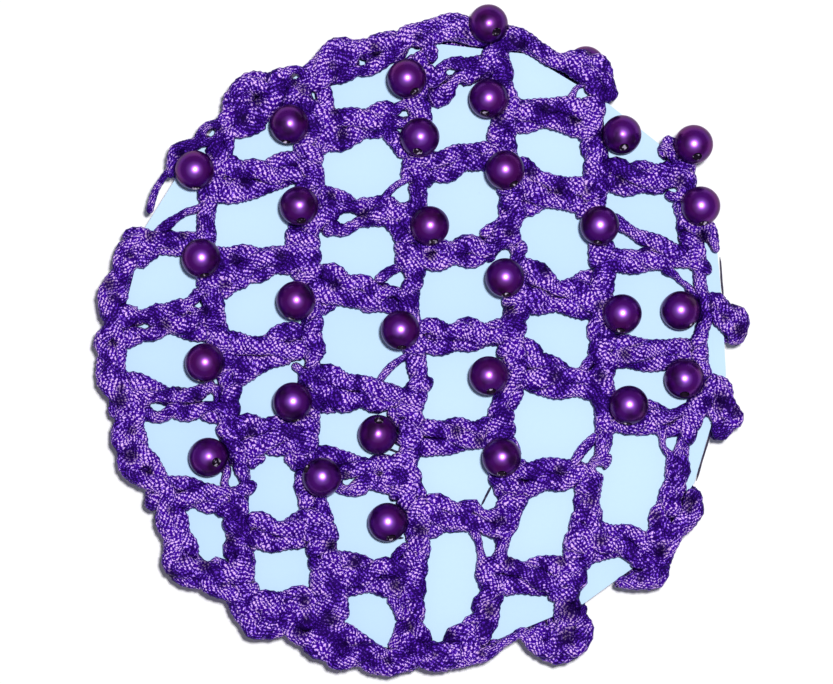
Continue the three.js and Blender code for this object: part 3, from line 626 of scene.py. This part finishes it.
class Skein:
    """Strands that become one mesh, with a place across and along the yarn at each corner."""

    def __init__(self):
        self.points = []
        self.faces = []
        self.places = []

    def strand(self, points, ups, widths, thickness=YARN_THICKNESS):
        """A flat tube through the points, with rounded ends and a lightly uneven skin."""
        first = len(self.points)
        last = len(points) - 1
        swell = wander(STRAND_SWELL, SWAY_LENGTH)
        if isinstance(widths, (int, float)):
            widths = [widths] * len(points)
        points, widths = past_the_holes(points, widths)
        start = chance.uniform(0, DOTS_AHEAD)
        lengths = [0.0]
        for a, b in zip(points, points[1:]):
            lengths.append(lengths[-1] + (b - a).length)
        for i, (at, up) in enumerate(zip(points, ups)):
            along = (points[min(i + 1, last)] - points[max(i - 1, 0)]).normalized()
            side = along.cross(up).normalized()
            rise = side.cross(along)
            width = widths[i]
            end = min(lengths[i], lengths[last] - lengths[i]) / (width / 2)
            taper = math.sqrt(max(STRAND_TIP, 1 - max(0.0, 1 - end) ** 2))
            taper *= 1 + swell(lengths[i]) + STRAND_BUMP * (-1) ** i
            for k in range(STRAND_SIDES):
                turn = TAU * k / STRAND_SIDES
                self.points.append(
                    at
                    + side * (math.sin(turn) * width / 2 * taper)
                    + rise * (math.cos(turn) * thickness / 2 * taper)
                )
        for i in range(last):
            for k in range(STRAND_SIDES):
                a = first + i * STRAND_SIDES + k
                b = first + i * STRAND_SIDES + (k + 1) % STRAND_SIDES
                self.faces.append((a, b, b + STRAND_SIDES, a + STRAND_SIDES))
                u = [(k + s) / STRAND_SIDES * DOTS_ROUND for s in (0, 1, 1, 0)]
                v = [start + lengths[i + s] / DOT_PITCH for s in (0, 0, 1, 1)]
                self.places += zip(u, v)
        for ring, order in ((0, 1), (last, -1)):
            face = [first + ring * STRAND_SIDES + k for k in range(STRAND_SIDES)]
            self.faces.append(tuple(face[::-order]))
            self.places += [BARE_PLACE] * STRAND_SIDES

    def made(self, name, look):
        """The strands as one piece, pressed into their hollows with the hollows' painted shade
        kept on their points, and clear of beads and card.
        """
        points = np.array([tuple(p) for p in self.points])
        shades = hollow_shade(points)
        points[:, 2] -= HOLLOW_DEPTH * shades
        points = off_the_card(off_the_beads(points))
        mesh = bpy.data.meshes.new(name)
        mesh.from_pydata((points * MM).tolist(), [], self.faces)
        layer = mesh.uv_layers.new(name="yarn")
        layer.data.foreach_set("uv", np.array(self.places).ravel())
        # The painted shade of the hollows, kept on each point for the yarn's colour
        shade = mesh.attributes.new("hollow", "FLOAT", "POINT")
        shade.data.foreach_set("value", shades)
        mesh.polygons.foreach_set("use_smooth", [True] * len(mesh.polygons))
        mesh.materials.append(look)
        return placed(name, mesh)


def hollow_shade(points):
    """How much painted shade each point takes from the hollows between the stitches, from 0 to 1.
    """
    shade = np.zeros(len(points))
    front = np.clip((points[:, 2] - card_high.z) / HOLLOW_FADE, 0, 1)
    for at, reach in hollows:
        near = np.linalg.norm(points[:, :2] - np.array(at[:2]), axis=1) / reach
        dark = np.clip(HOLLOW_SLOPE - HOLLOW_SLOPE * near, 0, 1)
        shade = np.maximum(shade, dark * front)
    return HOLLOW_SHADE * shade


def past_the_holes(points, widths):
    """A strand that would cover one of the small holes passes it on the nearer side."""
    points, widths = list(points), list(widths)
    last = len(points) - 1
    if max(widths) < THREAD_LIMIT:
        return points, widths
    for hole, reach in holes:
        away = [(at - hole).xy.length for at in points]
        near = min(range(len(points)), key=away.__getitem__)
        clear = reach + widths[near] / 2
        along = (points[min(near + 1, last)] - points[max(near - 1, 0)]).xy.to_3d()
        upright = along.length < UPRIGHT
        if away[near] >= clear or points[near].z < card_high.z or upright:
            continue
        along.normalize()
        narrow = HOLE_PINCH * widths[near]
        clear = reach + narrow / 2
        side = Vector((-along.y, along.x, 0))
        if (points[near] - hole).dot(side) < 0:
            side.negate()
        for i, at in enumerate(points):
            ahead = (at - hole).dot(along) / (HOLE_PASS * clear)
            short = clear * (1 - ahead**2) - (at - hole).dot(side)
            if abs(ahead) < 1 and away[i] < 2 * clear:
                widths[i] = min(widths[i], blend(narrow, widths[i], ahead**2))
                points[i] = at + side * max(0.0, short)
    return points, widths


def placed(name, mesh):
    """The mesh as a piece that rides on the body."""
    piece = bpy.data.objects.new(name, mesh)
    bpy.context.scene.collection.objects.link(piece)
    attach(piece, BODY)
    return piece


def off_the_beads(points):
    """Yarn that would run into a bead dents round it."""
    for centre in bead_centres:
        away = points - np.array(tuple(centre))
        distance = np.linalg.norm(away, axis=1)
        reach = BEAD_DIAMETER / 2 + CLEARANCE
        inside = distance < reach
        stretch = reach / np.maximum(distance[inside], 0.01)
        points[inside] = np.array(tuple(centre)) + away[inside] * stretch[:, None]
    return points


def card_edge(angles):
    """How far out the card's edge lies in each direction."""
    corners = [(math.radians(a), share(r)) for a, r in CARD_CORNERS]
    reach = np.zeros_like(angles)
    for i, (a, ra) in enumerate(corners):
        b, rb = corners[(i + 1) % len(corners)]
        b += TAU if b < a else 0
        turned = (angles - a) % TAU
        here = turned <= b - a
        bottom = ra * np.sin(turned) + rb * np.sin(b - a - turned)
        reach[here] = (ra * rb * math.sin(b - a) / np.maximum(bottom, 1e-6))[here]
    return reach


def off_the_card(points):
    """Yarn in front of the card, round its edge or behind it stays clear of it."""
    flat = points[:, :2] - np.array(tuple(middle))
    radius = np.linalg.norm(flat, axis=1)
    edge = card_edge(np.arctan2(flat[:, 1], flat[:, 0])) + CLEARANCE
    top, bottom = card_high.z + CLEARANCE, card_low.z - CLEARANCE
    level = (card_low.z + card_high.z) / 2
    within = (radius < edge) & (points[:, 2] < top) & (points[:, 2] > bottom)
    shallow = within & (radius > edge - (top - bottom) / 2)
    points[shallow, :2] *= (edge[shallow] / radius[shallow])[:, None]
    deep = within & ~shallow
    points[deep, 2] = np.where(points[deep, 2] > level, top, bottom)
    return points


# Paths
hollows = [(spot(x, y), reach) for x, y, reach in HOLLOWS]
holes = [(spot(x, y), reach) for x, y, reach in HOLES]


def smooth_path(stations):
    """Evenly close (point, width) pairs on a smooth curve through the stations."""
    path = []
    ends = [stations[0], *stations, stations[-1]]
    for (p0, _), (p1, w1), (p2, w2), (p3, _) in zip(ends, ends[1:], ends[2:], ends[3:]):
        parts = max(1, round((p2 - p1).length / STRAND_STEP))
        for i in range(parts):
            t = i / parts
            at = (
                p1 * 2
                + (p2 - p0) * t
                + (p0 * 2 - p1 * 5 + p2 * 4 - p3) * t**2
                + (p1 * 3 - p0 - p2 * 3 + p3) * t**3
            ) / 2
            path.append((at, blend(w1, w2, t)))
    return [*path, stations[-1]]


def lay_strands(skein, path, count, lay, plait=False, phase=0.0):
    """Strands that pass round each other along a path, within its width."""
    last = len(path) - 1
    sides = []
    for i in range(len(path)):
        along = path[min(i + 1, last)][0] - path[max(i - 1, 0)][0]
        sides.append(UP.cross(along).normalized())
    widths = [
        max(STRAND_LEAST, min(STRAND_WIDTH, STRAND_SHARE * width), STRAND_SPREAD * width)
        for _, width in path
    ]
    for k in range(count):
        points = []
        travelled = 0.0
        stray, heave = wander(STRAND_SWAY, SWAY_LENGTH), wander(STRAND_SWAY, SWAY_LENGTH)
        for i, (at, width) in enumerate(path):
            if i:
                travelled += (at - path[i - 1][0]).length
            turn = TAU * (travelled / lay + k / count) + phase
            reach = max(0.0, (width - widths[i] * STRAND_ROOM) / 2)
            height = (math.sin(2 * turn) if plait else math.cos(turn)) * STRAND_LIFT
            aside = math.sin(turn) * reach + stray(travelled) * min(1.0, reach)
            points.append(at + sides[i] * aside + UP * (height + heave(travelled)))
        skein.strand(points, [UP] * len(points), widths)


def knot(skein, at, along, width, strands=3):
    """Yarn-overs that hug a rib where a post hooks round it, their ends tucked under."""
    across = Vector((along.y, -along.x, 0))
    high = mesh_high.z - YARN_THICKNESS / 2 - MESH_MIDDLE
    reach = width / 2 - KNOT_TUCK
    for j in range(strands):
        offset = (j - (strands - 1) / 2) * KNOT_SPACING + chance.uniform(-KNOT_STRAY, KNOT_STRAY)
        slant = KNOT_SLANT * chance.choice((-1, 1)) * chance.uniform(*KNOT_SLANTS)
        points = []
        ups = []
        for i in range(KNOT_PARTS + 1):
            turn = math.radians(KNOT_TURN * i / KNOT_PARTS - KNOT_TURN / 2)
            outward = across * math.sin(turn) + Vector((0, 0, math.cos(turn)))
            spread = across * (math.sin(turn) * reach) + along * (offset + slant * math.sin(turn))
            rise = Vector((0, 0, math.cos(turn) * high))
            points.append(Vector((at.x, at.y, MESH_MIDDLE)) + spread + rise)
            ups.append(outward)
        skein.strand(points, ups, STRAND_WIDTH * KNOT_WIDTH, YARN_THICKNESS * KNOT_THICKNESS)


rib_paths = []
for rib in RIBS:
    stations = [(spot(x, y, MESH_MIDDLE), yarns * YARN_WIDTH) for x, y, yarns in rib]
    rib_paths.append(smooth_path(stations))


def on_rib(path, y):
    """The point, the direction and the width of a rib at one height."""
    i = min(range(1, len(path) - 1), key=lambda n: abs(path[n][0].y - middle.y - share(y)))
    at, width = path[i]
    return at, (path[i - 1][0] - path[i + 1][0]).normalized(), width


def on_edging(y):
    """The point, the direction and the width of the edging's left side at one height."""
    radius = share(EDGE_MEETS)
    x = -math.sqrt(radius**2 - share(y) ** 2)
    at = Vector((x + middle.x, share(y) + middle.y, MESH_MIDDLE))
    return at, Vector((share(y), -x, 0)).normalized(), 2 * YARN_WIDTH


# The open mesh
def mesh_row(row):
    """A rib, its posts from the rib or edging on its left, and the knots at their ends."""
    skein = Skein()
    lay_strands(skein, rib_paths[row], RIB_STRANDS, RIB_LAY, plait=True, phase=row)
    for start_y, start_yarns, yarns, end_y, end_yarns in POSTS[row]:
        start, start_along, start_width = (
            on_rib(rib_paths[row - 1], start_y) if row else on_edging(start_y)
        )
        end, end_along, end_width = on_rib(rib_paths[row], end_y)
        hook = (end - start).normalized() * POST_HOOK
        start_dip, end_dip = (UP * dip for dip in POST_DIPS)
        widths = [start_yarns * YARN_WIDTH, yarns * YARN_WIDTH, end_yarns * YARN_WIDTH]
        places = [blend(start, end, t) for t in POST_PLACES]
        stations = [
            (start - hook - start_dip, widths[0]),
            *zip(places, widths),
            (end + hook - end_dip, widths[-1]),
        ]
        path = smooth_path(stations)
        knotted = yarns > POST_LEAST
        count = POST_STRANDS if knotted else 1
        lay = POST_LAY * chance.choice((-1, 1)) * chance.uniform(*POST_LAYS)
        lay_strands(skein, path, count, lay, phase=chance.uniform(0, TAU))
        if knotted:
            knot(skein, end, end_along, end_width)
            if row:
                knot(skein, start, start_along, start_width, strands=2)
    return skein


for row in range(len(RIBS)):
    piece = mesh_row(row).made(f"crochet_row_{row + 1}", yarn_look)
    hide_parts(f"mesh_row_{row + 1}")

singles = Skein()
for x0, y0, x1, y1, yarns in SINGLE_YARNS:
    a, b = spot(x0, y0, MESH_MIDDLE), spot(x1, y1, MESH_MIDDLE)
    bow = Vector((a.y - b.y, b.x - a.x, 0)) * SINGLE_BOW
    stations = [(a, YARN_WIDTH), (blend(a, b, 0.5) + bow, YARN_WIDTH), (b, YARN_WIDTH)]
    points = [at for at, _ in smooth_path(stations)]
    singles.strand(points, [UP] * len(points), yarns * YARN_WIDTH)
singles.made("single_yarns", yarn_look)

threads = Skein()
for x0, y0, x1, y1 in THREADS:
    a, b = (spot(x, y, MESH_MIDDLE - THREAD_DEPTH) for x, y in ((x0, y0), (x1, y1)))
    points = [
        blend(a, b, i / THREAD_PARTS) + UP * (THREAD_WAVE * math.sin(i))
        for i in range(THREAD_PARTS + 1)
    ]
    threads.strand(points, [UP] * len(points), THREAD_WIDTH, THREAD_WIDTH)
threads.made("sewing_thread", thread_look)


# The edging
def edge_radius(angle):
    """How far out the card's edge lies in one direction, given in degrees."""
    return float(card_edge(np.array([math.radians(angle)]))[0])


def on_run(run, angle):
    """How far out a run's shell and how far in its lip reach in one direction."""
    angles, outs, lips = zip(*run)
    return float(np.interp(angle, angles, outs)), float(np.interp(angle, angles, lips))


def edging_front(run):
    """The strands that run along the rim, on the front of the card."""
    stations = []
    for angle, out, lip in run:
        inner = min(share(lip), edge_radius(angle))
        at = polar(angle, (share(out) + inner) / 2, MESH_MIDDLE)
        stations.append((at, share(out) - inner))
    lay_strands(edging, smooth_path(stations), EDGE_STRANDS, EDGE_LAY, phase=run[0][0])


def shell_loop(run, angle, half):
    """A shell of the last round: a yarn that leaves the lip, rounds the rim and comes back."""
    stations = []
    for turn in range(0, 181, SHELL_STEP):
        t = math.radians(turn)
        here = angle + half * math.cos(t)
        out, lip = on_run(run, here)
        inner = min(share(lip), edge_radius(here))
        width = min(STRAND_WIDTH, max(STRAND_LEAST, (share(out) - inner) / 2))
        r = blend(inner + width / 2, share(out) - width / 2, math.sin(t))
        z = mesh_high.z - YARN_THICKNESS * (SHELL_SINK + SHELL_DROP * (1 - math.sin(t)))
        stations.append((polar(here, r, z), width))
        if turn == 90:
            # The shell's hollow, which takes painted shade
            heart = blend(inner + width / 2, r, SHELL_HEART)
            hollows.append((polar(here, heart, 0), SHELL_HOLLOW))
    points, widths = zip(*smooth_path(stations))
    edging.strand(points, [UP] * len(points), widths)


def shell_wrap(angle, out, lip):
    """One yarn from the rim round the card's edge to the hem on the back."""
    outer = max(share(out), edge_radius(angle) + RIM_COVER) - YARN_THICKNESS * WRAP_RIM
    inner = min(share(lip) + YARN_WIDTH / 2, outer - 0.5)
    foot = MOUTH_RADIUS + HEM_WIDTH * WRAP_FOOT
    high = mesh_high.z - YARN_THICKNESS * 1.2
    back = card_low.z - YARN_THICKNESS * 0.6
    # The yarn's course seen from its side: how far out it lies, and how high
    profile = [
        (inner, mesh_low.z + 0.8),
        (blend(inner, outer, 0.6), high),
        (outer - 0.3, high - 0.5),
        (outer, blend(back, high, 0.45)),
        (outer - 0.5, back + 0.2),
        (outer - 1.8, back - 0.4),
        (blend(outer, foot, 0.6), back - 0.3),
        (foot, hem_high - 0.7),
    ]
    stations = []
    for i, (r, z) in enumerate(profile):
        lean = WRAP_LEAN * (i / (len(profile) - 1) - 0.5)
        stations.append((polar(angle + lean, r, z), YARN_WIDTH))
    points = [at for at, _ in smooth_path(stations)]
    hub = polar(angle, outer - WRAP_HUB, blend(back, high, 0.5))
    ups = [(at - hub).normalized() for at in points]
    width = YARN_WIDTH * chance.uniform(*WRAP_WIDTHS)
    edging.strand(points, ups, width, YARN_THICKNESS * WRAP_THICKNESS)


edging = Skein()
for run in EDGING_RUNS:
    edging_front(run)
    begin, finish = run[0][0], run[-1][0]
    length = math.radians(finish - begin) * SNOOD_REACH
    count = round(length / WRAP_SPACING) + 1
    for i in range(count):
        angle = blend(begin, finish, (i + 0.5) / count)
        out, lip = on_run(run, angle)
        if share(out) > edge_radius(angle) + RIM_COVER:
            shell_wrap(angle, out, lip)
    count = max(1, round(length / SHELL_SPACING))
    for i in range(count):
        angle = blend(begin, finish, (i + 0.5) / count)
        half = 0.5 * (finish - begin) / count * chance.uniform(*SHELL_SPANS)
        out, lip = on_run(run, angle)
        if share(out - lip) > YARN_WIDTH:
            shell_loop(run, angle, half)
piece = edging.made("shell_edging", yarn_look)
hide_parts("edging")

# The gathered hem: a yarn wound closely round a plain core
hem = Skein()
hem_middle = MOUTH_RADIUS + HEM_WIDTH / 2
hem_half = (HEM_WIDTH - YARN_THICKNESS) / 2
hem_rise = (hem_high - YARN_THICKNESS) / 2
points, ups = [], []
for i in range(HEM_TURNS * HEM_STEPS + 1):
    turn = TAU * i / HEM_STEPS
    angle = 360 * i / (HEM_TURNS * HEM_STEPS)
    r = hem_middle + hem_half * math.cos(turn)
    z = hem_high / 2 + hem_rise * math.sin(turn)
    points.append(polar(angle, r, z))
    outward = polar(angle, math.cos(turn) / hem_half, 0) - polar(angle, 0, 0)
    ups.append((outward + UP * (math.sin(turn) / hem_rise)).normalized())
hem.strand(points, ups, YARN_WIDTH * HEM_YARN, YARN_THICKNESS)
core = [polar(angle, hem_middle, hem_high / 2) for angle in range(0, 361, CORE_STEP)]
hem.strand(core, [UP] * len(core), 2 * hem_half, 2 * hem_rise)
hem.made("gathered_hem", yarn_look)


# The beads
def bead_mesh(number, centre):
    """A ball with a through bore, turned so that the bore lies as it shows."""
    radius, bore = BEAD_DIAMETER / 2, BEAD_BORE / 2
    mouth = math.asin(bore / radius)
    rings = []
    for k in range(BEAD_ARCS + 1):
        angle = blend(mouth, math.pi - mouth, k / BEAD_ARCS)
        rings.append((radius * math.sin(angle), -radius * math.cos(angle)))
    inner = radius * math.cos(mouth) - BORE_RIM
    lining = bore * BORE_LINING
    rings += [rings[-1], (lining, inner), (lining, -inner), rings[0]]
    _, _, sway, tip = BEADS[number]
    turn = Matrix.Rotation(math.radians(sway), 3, "Z")
    turn @= Matrix.Rotation(-math.radians(tip), 3, "X")
    points = []
    for r, y in rings:
        for k in range(BEAD_SIDES):
            a = TAU * k / BEAD_SIDES
            points.append((centre + turn @ Vector((r * math.cos(a), y, r * math.sin(a)))) * MM)
    faces = []
    for i in (*range(BEAD_ARCS), *range(BEAD_ARCS + 1, BEAD_ARCS + 4)):
        for k in range(BEAD_SIDES):
            a = i * BEAD_SIDES + k
            b = i * BEAD_SIDES + (k + 1) % BEAD_SIDES
            faces.append((a, a + BEAD_SIDES, b + BEAD_SIDES, b))
    mesh = bpy.data.meshes.new(f"pearl_{number + 1:02d}")
    mesh.from_pydata([tuple(p) for p in points], [], faces)
    mesh.polygons.foreach_set("use_smooth", [True] * len(faces))
    mesh.materials.append(pearl_look)
    mesh.materials.append(bore_look)
    shell = BEAD_ARCS * BEAD_SIDES
    mesh.polygons.foreach_set("material_index", [int(i >= shell) for i in range(len(faces))])
    return mesh


for number, centre in enumerate(bead_centres):
    mesh = bead_mesh(number, centre)
    piece = placed(mesh.name, mesh)
    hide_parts(f"bead_{number + 1:02d}")

# The card keeps its own solid
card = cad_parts["card"]
card.data.materials.clear()
card.data.materials.append(card_material())


# Floor, camera and light
floor_corners = [
    (x * FLOOR_HALF, y * FLOOR_HALF, -FLOOR_DROP)
    for x, y in ((-1, -1), (1, -1), (1, 1), (-1, 1))
]
floor_mesh = bpy.data.meshes.new("floor")
floor_mesh.from_pydata(floor_corners, [], [(0, 1, 2, 3)])
floor_mesh.materials.append(floor_material())
floor = bpy.data.objects.new("floor", floor_mesh)
bpy.context.scene.collection.objects.link(floor)

camera_data = bpy.data.cameras.new("camera")
camera_data.sensor_width = SENSOR
camera_data.lens = SENSOR * VIEW_DISTANCE / VIEW_WIDTH
camera_data.clip_start = 0.01
camera = bpy.data.objects.new("camera", camera_data)
camera.location = Vector((*VIEW_MIDDLE, MESH_MIDDLE + VIEW_DISTANCE)) * MM
bpy.context.scene.collection.objects.link(camera)
bpy.context.scene.camera = camera

lamp_data = bpy.data.lights.new("key", "AREA")
lamp_data.shape = "DISK"
lamp_data.size = LAMP_SIZE
lamp_data.energy = LAMP_POWER
lamp = bpy.data.objects.new("key", lamp_data)
lamp.location = LAMP_PLACE
lamp.rotation_euler = (-Vector(LAMP_PLACE)).to_track_quat("-Z", "Y").to_euler()
bpy.context.scene.collection.objects.link(lamp)

world = bpy.data.worlds.new("studio")
world.use_nodes = True
sky = world.node_tree.nodes["Background"]
sky.inputs["Color"].default_value = (*SKY, 1)
sky.inputs["Strength"].default_value = SKY_STRENGTH
bpy.context.scene.world = world
bpy.context.scene.view_settings.view_transform = "Standard"
